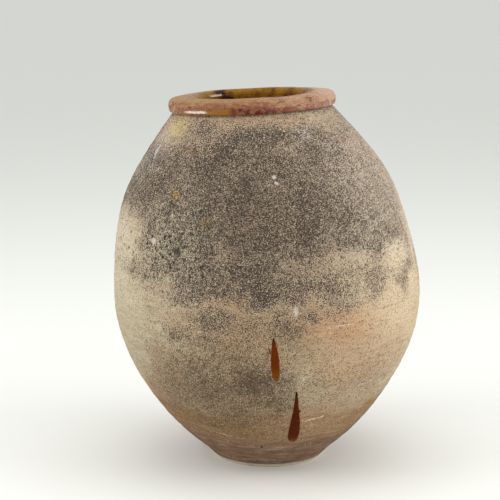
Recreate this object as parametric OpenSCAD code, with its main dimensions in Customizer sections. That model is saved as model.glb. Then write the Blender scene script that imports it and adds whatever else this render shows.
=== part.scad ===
// Large olive jar of earthenware, glazed inside and over its collar.
// It is built of sections luted together: a foot slab, a lower wall, an upper wall that leans
// and has slumped, and a thick rounded collar. Origin: centre of the foot, on the ground.

/* [Belly] */
// Diameter of the jar at its widest
belly_d = 621; // [560:1:700]
// Height of the widest line, where the two wall sections are luted
belly_h = 346.5; // [300:0.5:400]

/* [Foot] */
// Diameter of the flat that the jar stands on
foot_d = 219; // [180:1:250]
// Diameter at the top of the chamfered heel
heel_d = 266; // [256:1:300]
// Height of the chamfered heel
heel_h = 24; // [15:1:35]
// Thickness of the floor slab
floor_t = 32; // [26:1:45]
// How steeply the wall leaves the heel, from upright
heel_flare = 52; // [40:1:60]
// How full the wall is just above the heel
heel_fullness = 0.37; // [0.2:0.01:0.5]
// How full the wall is under the belly
belly_fullness = 0.28; // [0.2:0.01:0.45]

/* [Shoulder and neck] */
// Height of the neck's top, where the collar is seated
neck_h = 715; // [650:1:780]
// Outer diameter of the neck's top
neck_d = 314; // [280:1:318]
// How far the neck leans in from upright
neck_slope = 39.6; // [30:0.2:50]
// How full the shoulder is above the belly
shoulder_fullness = 0.49; // [0.3:0.01:0.55]
// How full the shoulder is under the neck
neck_fullness = 0.44; // [0.3:0.01:0.5]

/* [Wall] */
// Thickness of the wall at the belly and above
wall_t = 15; // [10:0.5:20]
// Thickness of the wall at the heel
heel_wall_t = 24; // [16:0.5:30]

/* [Lean] */
// How far the lower wall leans to the left
foot_lean = 0.8; // [0:0.1:2]
// How far the upper wall and the collar lean to the left
neck_lean = 2.9; // [0:0.1:5]
// How far the upper wall has slumped to the left
slump = 1.8; // [0:0.1:4]

/* [Collar] */
// Outer diameter of the collar
collar_d = 335.4; // [325:0.2:360]
// Radius of the collar's rounded outer edge
roll_r = 17.5; // [14:0.5:22]
// Height of the rounded edge's centre above the seat
roll_h = 12; // [9:0.5:13]
// Diameter of the crown, the highest line of the collar
crown_d = 248; // [240:1:260]
// Height of the crown above the seat
crown_h = 27.8; // [26:0.2:36]
// Height over which the crown rounds down into the mouth
crown_drop = 12; // [8:0.5:14]
// Diameter of the mouth
mouth_d = 216; // [190:1:230]
// Rounding under the mouth's lower edge
lip_r = 4; // [2:0.5:6]

/* [Glaze] */
// Thickness of the glaze coat
glaze_t = 0.8; // [0.5:0.1:1.5]
// How far the two runs stand proud of the wall
run_proud = 2.2; // [1.5:0.1:4]
// Width of the upper run at its bead
upper_run_w = 17; // [10:1:24]
// Width of the lower run at its bead
lower_run_w = 25; // [16:1:34]
// Where the upper run lies round the jar, from the front
upper_run_at = 2.5; // [-20:0.1:30]
// Where the lower run lies round the jar, from the front
lower_run_at = 13.6; // [-20:0.1:30]
// Depth of the upper run's tip below the luting line
upper_run_start = 30; // [10:1:80]
// Depth of the upper run's bead below the luting line
upper_run_bead = 88; // [81:1:105]
// Depth of the upper run's round end below the luting line
upper_run_end = 119; // [110:1:130]
// Depth of the lower run's tip below the luting line
lower_run_start = 144; // [130:1:190]
// Depth of the lower run's bead below the luting line
lower_run_bead = 238; // [195:1:250]
// Depth of the lower run's round end below the luting line
lower_run_end = 267; // [255:1:280]
// Sideways shift of the upper run's tip
upper_run_dx = -5; // [-12:1:12]
// Sideways shift of the lower run's tip
lower_run_dx = -14; // [-24:1:16]

/* [Hidden] */
$fn = 180;

// The belly is part of a ball about the middle of the luting line, so that both wall
// sections can lean about that middle and still meet in the same circle.
belly_r = belly_d / 2;
ball_angle = 8;
arc_step = 1;
curve_steps = 24;
// How far a revolved section runs on past the plane that trims it
overrun = 30;

// Place of the belly's middle and of the collar's seat
belly_x = -belly_h * tan(foot_lean);
slump_rate = tan(slump);
rise = neck_h - belly_h;
seat_x = belly_x - sin(neck_lean) * rise - slump_rate * cos(neck_lean) * rise;
seat_z = belly_h + cos(neck_lean) * rise;

// Half-size of the blocks that trim a section
reach = belly_d;

clay = [0.60, 0.51, 0.42];
bare_clay = [0.66, 0.53, 0.42];
amber = [0.48, 0.30, 0.12];
dark_glaze = [0.30, 0.15, 0.07];

// A point of an outline is [radius, height, radius part and height part of its outward normal].
function outline_point(r, z, angle) = [r, z, cos(angle), sin(angle)];

function unit(v) = v / norm(v);

// Point at share t of a cubic curve, with the normal on the curve's right-hand side
function curve_point(a, b, c, d, t) =
    let (s = 1 - t,
        p = s * s * s * a + 3 * s * s * t * b + 3 * s * t * t * c + t * t * t * d,
        v = unit(s * s * (b - a) + 2 * s * t * (c - b) + t * t * (d - c)))
    [p[0], p[1], v[1], -v[0]];

// Curve from one point to another, leaving and arriving in the given directions
function curve(from, leave, to, arrive, fullness_from, fullness_to) =
    let (span = norm(to - from), b = from + leave * span * fullness_from,
        c = to - arrive * span * fullness_to)
    [for (k = [1 : curve_steps]) curve_point(from, b, c, to, k / curve_steps)];

function ball_point(angle) =
    outline_point(belly_r * cos(angle), belly_h + belly_r * sin(angle), angle);

// Outline of the lower section, upwards from below the ground to past the luting line
heel_point = [heel_d / 2, heel_h];
heel_angle = atan2(heel_h, (heel_d - foot_d) / 2);
heel_run = unit([heel_d - foot_d, 2 * heel_h]);
below = heel_point - heel_run * (norm(heel_point - [foot_d / 2, 0]) + overrun);
heel_normal = (heel_angle - 90 - heel_flare) / 2;
lower_outline = concat(
    [outline_point(below[0], below[1], heel_angle - 90)],
    [outline_point(heel_point[0], heel_point[1], heel_normal)],
    curve(heel_point, [sin(heel_flare), cos(heel_flare)],
        [belly_r * cos(ball_angle), belly_h - belly_r * sin(ball_angle)],
        [sin(ball_angle), cos(ball_angle)], heel_fullness, belly_fullness),
    [for (a = [-ball_angle + arc_step : arc_step : ball_angle]) ball_point(a)]);

// Outline of the upper section, upwards from below the luting line to past the seat
neck_point = [neck_d / 2, neck_h];
neck_run = [-sin(neck_slope), cos(neck_slope)];
above = neck_point + neck_run * overrun;
upper_outline = concat(
    [for (a = [-ball_angle : arc_step : ball_angle]) ball_point(a)],
    curve([belly_r * cos(ball_angle), belly_h + belly_r * sin(ball_angle)],
        [-sin(ball_angle), cos(ball_angle)], neck_point, neck_run,
        shoulder_fullness, neck_fullness),
    [outline_point(above[0], above[1], neck_slope)]);

// Wall thickness at a height: it eases from the heel's thickness to the belly's
function wall_at(z) =
    let (s = max(0, min(1, (z - heel_h) / (belly_h - heel_h))))
    heel_wall_t + (wall_t - heel_wall_t) * (2 - s) * s;

// An outline moved in by the wall's thickness and by a further depth
function inner(outline, depth) =
    [for (p = outline) let (t = wall_at(p[1]) + depth) [p[0] - t * p[2], p[1] - t * p[3]]];
function outer(outline) = [for (p = outline) [p[0], p[1]]];
function reversed(list) = [for (k = [len(list) - 1 : -1 : 0]) list[k]];

// Solid of revolution between two outlines, or from one outline to the axis
module revolved_skin(outside, inside) rotate_extrude() polygon(concat(outside, reversed(inside)));
module revolved_solid(outside) rotate_extrude()
    polygon(concat([[0, outside[0][1]]], outside, [[0, outside[len(outside) - 1][1]]]));

// Everything between two heights
module slab(from, to) translate([0, 0, from]) cylinder(r = reach, h = to - from);

module as_lower_leans() translate([belly_x, 0, belly_h]) rotate([0, -foot_lean, 0])
    translate([0, 0, -belly_h]) children();

module as_upper_leans()
    multmatrix([[1, 0, -slump_rate, slump_rate * belly_h], [0, 1, 0, 0], [0, 0, 1, 0], [0, 0, 0, 1]])
    translate([belly_x, 0, belly_h]) rotate([0, -neck_lean, 0])
    translate([0, 0, -belly_h]) children();

module on_seat() translate([seat_x, 0, seat_z]) rotate([0, -neck_lean, 0]) children();

module foot_disc() color(bare_clay) intersection() {
    as_lower_leans() revolved_solid(outer(lower_outline));
    slab(0, floor_t);
}

module lower_wall() color(clay) intersection() {
    as_lower_leans() revolved_skin(outer(lower_outline), inner(lower_outline, 0));
    slab(floor_t, belly_h);
}

module upper_wall() color(clay) difference() {
    as_upper_leans() revolved_skin(outer(upper_outline), inner(upper_outline, 0));
    slab(belly_h - overrun * 3, belly_h);
    on_seat() slab(0, overrun * 3);
}

// The glaze over the floor is one with the glaze up the lower wall
module lower_lining() color(amber) difference() {
    intersection() {
        as_lower_leans() revolved_solid(inner(lower_outline, 0));
        slab(floor_t, belly_h);
    }
    intersection() {
        as_lower_leans() revolved_solid(inner(lower_outline, glaze_t));
        slab(floor_t + glaze_t, belly_h + overrun);
    }
}

module upper_lining() color(amber) difference() {
    as_upper_leans() revolved_skin(inner(upper_outline, 0), inner(upper_outline, glaze_t));
    slab(belly_h - overrun * 3, belly_h);
    on_seat() slab(0, overrun * 3);
}

// Outline of the glazed collar above its seat: up the roll, over the crown and into the mouth
roll_x = collar_d / 2 - roll_r;
crown_x = crown_d / 2;
mouth_r = mouth_d / 2;
// The roll's arc, from where it leaves the seat to where the broad top slope starts
roll_steps = 12;
roll_top = 44;
roll_start = -asin(roll_h / roll_r);
crown_w = crown_x - mouth_r;
throat_top = crown_h - crown_drop;
collar_outline = concat(
    [for (k = [0 : roll_steps]) let (a = roll_start + (roll_top - roll_start) * k / roll_steps)
        outline_point(roll_x + roll_r * cos(a), roll_h + roll_r * sin(a), a)],
    [outline_point(crown_x, crown_h, 90)],
    [for (a = [100 : 10 : 180]) let (n = unit([cos(a) / crown_w, sin(a) / crown_drop]))
        [crown_x + crown_w * cos(a), throat_top + crown_drop * sin(a), n[0], n[1]]]);

function coat(depth) =
    concat([for (p = collar_outline) [p[0] - depth * p[2], max(0, p[1] - depth * p[3])]],
        [[mouth_r + depth, lip_r]]);

module rim_collar() color(bare_clay) on_seat() rotate_extrude()
    polygon(concat(coat(glaze_t), [[mouth_r + glaze_t + lip_r, 0]]));

module collar_glaze() color(amber) on_seat() rotate_extrude()
    polygon(concat(coat(0), reversed(coat(glaze_t))));

// A run of glaze on the front of the lower wall: a thin tail that swells to a bead.
// A run's sides are drawn in steps up each side, and its tail starts at this share of its
// thickness at the bead.
run_steps = 16;
tail_thickness = 0.4;
// How fast the tail widens: 1 is a straight taper
tail_swell = 1.25;

// Half width of a run at a height: round under the bead, tapered to a point above it
function run_half_width(z, bottom_z, bead_z, top_z, bead_r) =
    z < bead_z ? bead_r * sqrt(max(0, 1 - pow((bead_z - z) / (bead_z - bottom_z), 2)))
        : bead_r * (1 - pow((z - bead_z) / (top_z - bead_z), tail_swell));

// How far a run stands proud at a height: most at the bead, less up the tail
function proud_at(z, bottom_z, bead_z, top_z) =
    z < bead_z ? run_proud * sqrt(max(0.05, 1 - pow((bead_z - z) / (bead_z - bottom_z), 2)))
        : run_proud * (1 - (1 - tail_thickness) * min(1, (z - bead_z) / (top_z - bead_z)));

module glaze_run(azimuth, bottom_z, bead_z, top_z, width, tail_dx) {
    stretch = [for (p = lower_outline) if (p[1] > bottom_z - overrun && p[1] < top_z + overrun) p];
    // Heights up the run, closer together towards its round lower end
    levels = [for (k = [0 : run_steps]) let (u = k / run_steps) bottom_z + (top_z - bottom_z) * u * u];
    side = [for (z = levels)
        [run_half_width(z, bottom_z, bead_z, top_z, width / 2), z,
            tail_dx * (z - bottom_z) / (top_z - bottom_z)]];
    as_lower_leans() rotate([0, 0, azimuth]) intersection() {
        revolved_skin(
            [for (p = stretch) let (t = proud_at(p[1], bottom_z, bead_z, top_z))
                [p[0] + t * p[2], p[1] + t * p[3]]],
            outer(stretch));
        rotate([90, 0, 0]) linear_extrude(reach) polygon(concat(
            [for (p = side) [p[2] + p[0], p[1]]],
            [for (p = reversed(side)) if (p[0] > 0) [p[2] - p[0], p[1]]]));
    }
}

module upper_glaze_run() color(dark_glaze)
    glaze_run(upper_run_at, belly_h - upper_run_end, belly_h - upper_run_bead,
        belly_h - upper_run_start, upper_run_w, upper_run_dx);

module lower_glaze_run() color(dark_glaze)
    glaze_run(lower_run_at, belly_h - lower_run_end, belly_h - lower_run_bead,
        belly_h - lower_run_start, lower_run_w, lower_run_dx);

foot_disc();
lower_wall();
upper_wall();
rim_collar();
lower_lining();
upper_lining();
collar_glaze();
upper_glaze_run();
lower_glaze_run();
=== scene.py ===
"""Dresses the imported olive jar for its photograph.

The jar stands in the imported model's frame, in metres, with its foot on z = 0 and its front
towards -Y. A place on the wall is given by its azimuth, in degrees from the front and positive
to the right, and by its height. Each sub-assembly and each finish is a class of its own.
"""

from __future__ import annotations

import logging
import math
from dataclasses import dataclass
from enum import Enum
from typing import Any, Callable, Sequence

import bpy
import numpy as np
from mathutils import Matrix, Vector


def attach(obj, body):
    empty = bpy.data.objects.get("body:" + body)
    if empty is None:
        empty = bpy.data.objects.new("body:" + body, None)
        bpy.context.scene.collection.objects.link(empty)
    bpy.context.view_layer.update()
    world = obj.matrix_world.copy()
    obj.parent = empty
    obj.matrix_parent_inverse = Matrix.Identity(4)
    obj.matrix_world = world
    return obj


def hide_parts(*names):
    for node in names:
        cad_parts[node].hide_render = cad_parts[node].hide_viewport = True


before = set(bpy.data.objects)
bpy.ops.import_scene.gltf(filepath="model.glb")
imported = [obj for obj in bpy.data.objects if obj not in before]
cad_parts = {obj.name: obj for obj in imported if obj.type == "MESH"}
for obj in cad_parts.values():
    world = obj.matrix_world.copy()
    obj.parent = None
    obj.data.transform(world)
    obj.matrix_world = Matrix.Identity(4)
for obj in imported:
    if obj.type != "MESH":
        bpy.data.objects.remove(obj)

log = logging.getLogger("olive_jar")

Colour = tuple[float, float, float, float]
Rgb = tuple[int, int, int]
Grid = np.ndarray

MM = 0.001
TURN = 2 * math.pi
SHARP_ANGLE = 50.0


class Slot(Enum):
    """The record's material slots."""

    CLAY = "clay"
    FOOT_CLAY = "foot_clay"
    LINING = "lining_glaze"
    COLLAR = "collar_glaze"
    RUN = "run_glaze"


def tint(red: int, green: int, blue: int) -> Colour:
    """Turns a screen colour into the linear colour that a shader takes.

    Args:
        red: Red part, 0 to 255.
        green: Green part, 0 to 255.
        blue: Blue part, 0 to 255.

    Returns:
        The linear colour with full alpha.
    """
    parts = [c / 255 for c in (red, green, blue)]
    linear = [c / 12.92 if c <= 0.04045 else ((c + 0.055) / 1.055) ** 2.4 for c in parts]
    return (linear[0], linear[1], linear[2], 1.0)


# Node trees


class Nodes:
    """Adds nodes to one node tree."""

    def __init__(self, tree: bpy.types.NodeTree) -> None:
        """Keeps the tree."""
        self.tree = tree

    def node(
        self, kind: str, settings: dict[str, Any] | None = None, values: dict[Any, Any] | None = None
    ) -> Any:
        """Adds a node, sets it and connects it.

        Args:
            kind: The node's type.
            settings: Its settings, set first. A ramp's stops go under "stops".
            values: The value or link of each input socket, by its name or number.

        Returns:
            The node.
        """
        made = self.tree.nodes.new(kind)
        for key, value in (settings or {}).items():
            if key == "stops":
                self._set_stops(made.color_ramp, value)
            else:
                setattr(made, key, value)
        for key, value in (values or {}).items():
            if isinstance(value, Number):
                value = value.socket
            if isinstance(value, bpy.types.NodeSocket):
                self.tree.links.new(value, made.inputs[key])
            else:
                made.inputs[key].default_value = value
        return made

    @staticmethod
    def _set_stops(ramp: Any, stops: Sequence[tuple[float, Any]]) -> None:
        """Writes a ramp's stops.

        Args:
            ramp: The ramp.
            stops: Position and colour, or position and grey level, in order.
        """
        for k, (position, level) in enumerate(stops):
            element = ramp.elements[k] if k < 2 else ramp.elements.new(position)
            element.position = position
            element.color = level if isinstance(level, tuple) else (level, level, level, 1.0)

    def maths(self, operation: str, *operands: Any) -> "Number":
        """Adds a Math node.

        Args:
            operation: The node's operation.
            operands: Its operands, plain numbers or Number.

        Returns:
            The result.
        """
        values = dict(enumerate(operands))
        return Number(self, self.node("ShaderNodeMath", {"operation": operation}, values).outputs[0])


class Number:
    """A number that varies over a surface. Python operators on it add its Math nodes."""

    def __init__(self, nodes: Nodes, socket: Any) -> None:
        """Keeps the tree's builder and the socket that carries the number."""
        self.nodes = nodes
        self.socket = socket

    def math(self, operation: str, *others: Any) -> "Number":
        """Adds one Math node that works on this number and the others."""
        return self.nodes.maths(operation, self, *others)

    def __add__(self, other: Any) -> "Number":
        """Sum."""
        return self.math("ADD", other)

    __radd__ = __add__

    def __mul__(self, other: Any) -> "Number":
        """Product."""
        return self.math("MULTIPLY", other)

    __rmul__ = __mul__

    def __sub__(self, other: Any) -> "Number":
        """Difference."""
        return self.math("SUBTRACT", other)

    def __rsub__(self, other: float) -> "Number":
        """Difference from a plain number."""
        return self.nodes.maths("SUBTRACT", other, self)

    def __truediv__(self, other: Any) -> "Number":
        """Quotient."""
        return self.math("DIVIDE", other)

    def either(self, other: Any) -> "Number":
        """The larger of two."""
        return self.math("MAXIMUM", other)

    def clamped(self) -> "Number":
        """The number kept between 0 and 1."""
        return self.math("MAXIMUM", 0.0).math("MINIMUM", 1.0)

    def off(self, middle: Any) -> "Number":
        """How far the number is from a value."""
        return (self - middle).math("ABSOLUTE")

    def step(self, low: float, high: float) -> "Number":
        """Eases the number from 0 at one value to 1 at another.

        Args:
            low: Where it gives 0.
            high: Where it gives 1. It may be the smaller one.

        Returns:
            The eased number.
        """
        values = {
            "Value": self, "From Min": min(low, high), "From Max": max(low, high),
            "To Min": float(low > high), "To Max": float(low <= high),
        }
        settings = {"interpolation_type": "SMOOTHSTEP"}
        return Number(self.nodes, self.nodes.node("ShaderNodeMapRange", settings, values).outputs[0])


class Paint(Nodes):
    """Builds one node material."""

    def __init__(self, name: str) -> None:
        """Starts an empty material.

        Args:
            name: The material's name.
        """
        self.material = bpy.data.materials.new(name)
        self.material.use_nodes = True
        super().__init__(self.material.node_tree)
        self.tree.nodes.clear()
        self.place = self.node("ShaderNodeTexCoord").outputs["Object"]

    def parts(self, at: Any) -> list[Number]:
        """The three parts of coordinates."""
        sockets = self.node("ShaderNodeSeparateXYZ", None, {0: at}).outputs
        return [Number(self, sockets[k]) for k in range(3)]

    def vector(self, operation: str, *operands: Any) -> Any:
        """Adds a Vector Math node and returns its vector output."""
        made = self.node("ShaderNodeVectorMath", {"operation": operation}, dict(enumerate(operands)))
        return made.outputs["Vector"]

    def measure(self, operation: str, *operands: Any) -> Number:
        """Adds a Vector Math node and returns its number output."""
        made = self.node("ShaderNodeVectorMath", {"operation": operation}, dict(enumerate(operands)))
        return Number(self, made.outputs["Value"])

    def noise(self, scale: float, detail: float = 2.0, rough: float = 0.5, at: Any = None) -> Number:
        """Adds a noise pattern.

        Args:
            scale: Features to the metre.
            detail: How many finer layers it has.
            rough: How strong these are.
            at: The coordinates, or None for the object's own.

        Returns:
            A number around 0.5.
        """
        values = {"Vector": at or self.place, "Scale": scale, "Detail": detail, "Roughness": rough}
        return Number(self, self.node("ShaderNodeTexNoise", None, values).outputs["Fac"])

    def cells(self, scale: float) -> Number:
        """Adds a cell pattern and returns the distance to the nearest cell's middle."""
        values = {"Vector": self.place, "Scale": scale}
        return Number(self, self.node("ShaderNodeTexVoronoi", None, values).outputs["Distance"])

    def warped(self, scale: float, reach: float, at: Any = None) -> Any:
        """Moves the coordinates about by a noise.

        Args:
            scale: Features to the metre.
            reach: How far a point moves, in metres.
            at: The coordinates to move, or None for the object's own.

        Returns:
            The moved coordinates.
        """
        start = at or self.place
        values = {"Vector": start, "Scale": scale, "Detail": 4.0, "Roughness": 0.6}
        drift = self.node("ShaderNodeTexNoise", None, values).outputs["Color"]
        centred = self.vector("SUBTRACT", drift, (0.5, 0.5, 0.5))
        scaled = self.vector("MULTIPLY", centred, (2 * reach, 2 * reach, 2 * reach))
        return self.vector("ADD", start, scaled)

    def squeezed(self, at: Any, across: float, up: float) -> Any:
        """Scales coordinates across and up, so that a pattern on them gets a grain."""
        return self.vector("MULTIPLY", at, (across, across, up))

    def ramp(self, value: Number, stops: Sequence[tuple[float, Any]]) -> Any:
        """Adds a colour ramp and returns its colour."""
        return self.node("ShaderNodeValToRGB", {"stops": stops}, {0: value}).outputs["Color"]

    def blend(self, share: Number | float, first: Any, second: Any) -> Any:
        """Mixes two colours.

        Args:
            share: How much of the second shows.
            first: The first colour.
            second: The second colour.

        Returns:
            The mixed colour.
        """
        settings = {"data_type": "RGBA", "blend_type": "MIX"}
        return self.node("ShaderNodeMix", settings, {0: share, 6: first, 7: second}).outputs[2]

    def bump(self, height: Number, reach: float) -> Any:
        """Adds a Bump node.

        Args:
            height: The relief, 0 to 1.
            reach: What a height of 1 stands for, in metres.

        Returns:
            The normal.
        """
        values = {"Height": height, "Distance": reach, "Strength": 1.0}
        return self.node("ShaderNodeBump", None, values).outputs["Normal"]

    def finish(self, **values: Any) -> bpy.types.Material:
        """Ends the material in one surface shader.

        Args:
            values: The shader's sockets, with _ for a space.

        Returns:
            The material.
        """
        sockets = {key.replace("_", " "): value for key, value in values.items()}
        shader = self.node("ShaderNodeBsdfPrincipled", None, sockets)
        self.node("ShaderNodeOutputMaterial", None, {"Surface": shader.outputs[0]})
        return self.material


class Layers:
    """A colour with further colours painted over it."""

    def __init__(self, paint: Paint, colour: Any) -> None:
        """Starts with the lowest colour."""
        self.paint = paint
        self.colour = colour

    def over(self, share: Number, *rgb: int) -> None:
        """Paints a screen colour over, as far as its share goes."""
        self.colour = self.paint.blend(share, self.colour, tint(*rgb))


class ShapeTree(Nodes):
    """Builds one Geometry Nodes tree with named inputs."""

    def __init__(self, name: str, **inputs: float) -> None:
        """Starts a tree that takes and gives a mesh.

        Args:
            name: The tree's name.
            inputs: The default of each named input. A whole number makes it an integer input.
        """
        super().__init__(bpy.data.node_groups.new(name, "GeometryNodeTree"))
        sockets = self.tree.interface
        for way in ("INPUT", "OUTPUT"):
            sockets.new_socket("Mesh", in_out=way, socket_type="NodeSocketGeometry")
        self.identifiers: dict[str, str] = {}
        for key, default in inputs.items():
            kind = "NodeSocketInt" if isinstance(default, int) else "NodeSocketFloat"
            made = sockets.new_socket(key, in_out="INPUT", socket_type=kind)
            made.default_value = default
            self.identifiers[key] = made.identifier
        self.start = self.node("NodeGroupInput")

    def given(self, name: str) -> Number:
        """The number that an input carries."""
        return Number(self, self.start.outputs[name])

    def end(self, geometry: Any, material: bpy.types.Material) -> None:
        """Ends the tree: instances made real, material set.

        Args:
            geometry: The socket that carries the geometry.
            material: The finish.
        """
        real = self.node("GeometryNodeRealizeInstances", None, {"Geometry": geometry})
        values = {"Geometry": real.outputs[0], "Material": material}
        dressed = self.node("GeometryNodeSetMaterial", None, values)
        self.node("NodeGroupOutput", None, {0: dressed.outputs[0]})

    def run(self, piece: bpy.types.Object, **values: float) -> None:
        """Runs the tree on a piece and keeps the result as its plain mesh.

        Args:
            piece: The piece.
            values: The tree's inputs.
        """
        modifier = piece.modifiers.new(self.tree.name, "NODES")
        modifier.node_group = self.tree
        for key, value in values.items():
            modifier[self.identifiers[key]] = value
        graph = bpy.context.evaluated_depsgraph_get()
        made = bpy.data.meshes.new_from_object(piece.evaluated_get(graph), depsgraph=graph)
        piece.modifiers.remove(modifier)
        piece.data = made


class ThrowingRings(ShapeTree):
    """Raises the potter's finger ridges on the inner side of a lining."""

    def __init__(self, material: bpy.types.Material) -> None:
        """Builds the tree.

        Args:
            material: The lining's finish.
        """
        super().__init__("throwing_rings", Pitch=0.02, Depth=0.001, Waver=1.0)
        place = self.node("GeometryNodeInputPosition").outputs[0]
        height = self.node("ShaderNodeSeparateXYZ", None, {0: place}).outputs["Z"]
        values = {"Vector": place, "Scale": 5.0, "Detail": 2.0}
        drift = Number(self, self.node("ShaderNodeTexNoise", None, values).outputs["Fac"])
        turns = Number(self, height) / self.given("Pitch") + drift * self.given("Waver")
        wave = (turns * TURN).math("SINE").math("MULTIPLY_ADD", 0.5, 0.5)
        kind = {"data_type": "FLOAT"}
        inward = self.node("GeometryNodeInputNamedAttribute", kind, {"Name": "inward"}).outputs[0]
        reach = wave * self.given("Depth") * Number(self, inward)
        values = {0: self.node("GeometryNodeInputNormal").outputs[0], "Scale": reach}
        shift = self.node("ShaderNodeVectorMath", {"operation": "SCALE"}, values)
        values = {"Geometry": self.start.outputs["Mesh"], "Offset": shift.outputs[0]}
        self.end(self.node("GeometryNodeSetPosition", None, values).outputs[0], material)


class CrumbScatter(ShapeTree):
    """Scatters small flattened crumbs over a wall, half sunk in it."""

    def __init__(self, material: bpy.types.Material) -> None:
        """Builds the tree.

        Args:
            material: The crumbs' finish.
        """
        super().__init__(
            "crumb_scatter", Density=500.0, Smallest=0.0006, Largest=0.0016, Flatness=0.45, Seed=4
        )
        values = {
            "Mesh": self.start.outputs["Mesh"], "Density": self.given("Density"),
            "Seed": self.given("Seed"),
        }
        spread = self.node("GeometryNodeDistributePointsOnFaces", None, values).outputs
        crumb = self.node("GeometryNodeMeshIcoSphere", None, {"Radius": 1.0, "Subdivisions": 1})
        ends = {2: self.given("Smallest"), 3: self.given("Largest")}
        picked = self.node("FunctionNodeRandomValue", {"data_type": "FLOAT"}, ends)
        size = Number(self, picked.outputs[1])
        values = {0: size, 1: size, 2: size * self.given("Flatness")}
        wide = self.node("ShaderNodeCombineXYZ", None, values)
        values = {
            "Points": spread["Points"], "Instance": crumb.outputs[0],
            "Rotation": spread["Rotation"], "Scale": wide.outputs[0],
        }
        self.end(self.node("GeometryNodeInstanceOnPoints", None, values).outputs[0], material)


# The jar's form


def heading(angle: float) -> Grid:
    """Direction in an outline, in degrees from upright, outwards being positive."""
    return np.array([math.sin(math.radians(angle)), math.cos(math.radians(angle))])


def outward(line: Grid) -> Grid:
    """Finds the outward normals of an outline.

    Args:
        line: The outline, radius and height, from its lower end.

    Returns:
        The unit normal at each point.
    """
    run = np.gradient(line, axis=0)
    run /= np.linalg.norm(run, axis=1)[:, None]
    return np.stack([run[:, 1], -run[:, 0]], 1)


def lengths(line: Grid) -> Grid:
    """Length along an outline up to each of its points."""
    return np.concatenate([[0], np.cumsum(np.linalg.norm(np.diff(line, axis=0), axis=1))])


def spun(azimuth: Grid, r: Grid, z: Grid) -> Grid:
    """Points of the upright jar by azimuth in radians, radius and height."""
    return np.stack(np.broadcast_arrays(r * np.sin(azimuth), -r * np.cos(azimuth), z), -1)


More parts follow.
